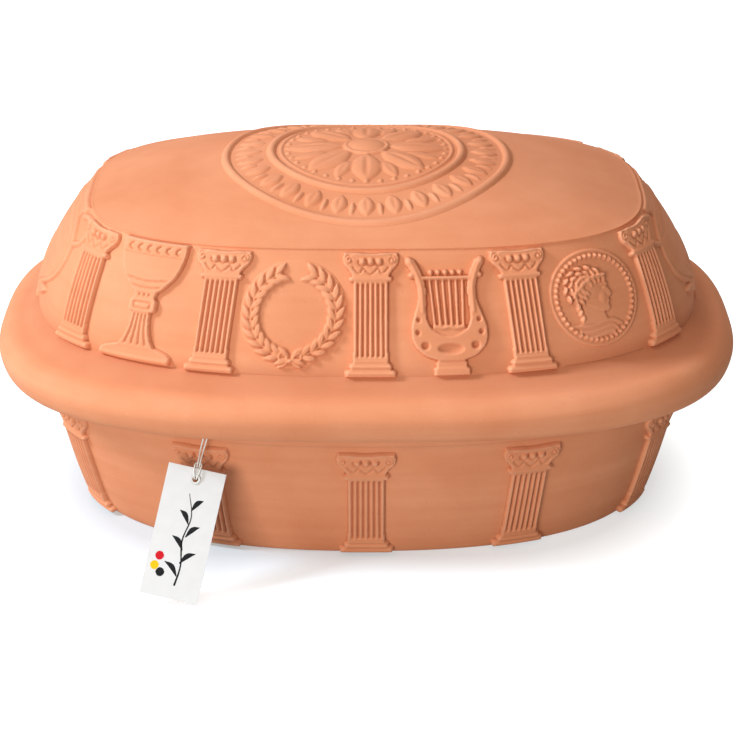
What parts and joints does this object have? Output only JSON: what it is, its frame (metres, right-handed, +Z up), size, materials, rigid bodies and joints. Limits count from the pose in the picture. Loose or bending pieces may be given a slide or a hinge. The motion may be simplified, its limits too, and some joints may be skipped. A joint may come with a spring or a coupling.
{
  "type": "clay roaster",
  "caption": "Oval unglazed clay roaster: flared trough with relief columns, domed lid with a rolled collar and moulded frieze, and a card tag on a string.",
  "frame": {"origin": "middle of the foot, on the surface that the roaster stands on", "axes": "+X along the long axis, +Z up; the tag hangs on the -Y side"},
  "size_m": [0.4094, 0.2991, 0.2037],
  "materials": {
    "clay": "unglazed fired terracotta, dry and fine grained",
    "card": "matt white card",
    "eyelet_metal": "plain pressed metal",
    "string": "twisted cotton"
  },
  "bodies": {
    "root": {"roaster_base": "clay", "tag_string": "string"},
    "lid": {"roaster_lid": "clay"},
    "tag": {"hang_tag": "card", "tag_eyelet": "eyelet_metal"}
  },
  "joints": [
    {"name": "lid_lift", "type": "slide", "parent": "root", "child": "lid", "axis": [0, 0, 1], "range_m": [0, 0.16]},
    {"name": "tag_swing", "type": "hinge", "parent": "root", "child": "tag", "pos_m": [-0.0901, -0.12512, 0.0596], "axis": [0, -0.8829, 0.4695], "range_deg": [-12, 20]}
  ]
}
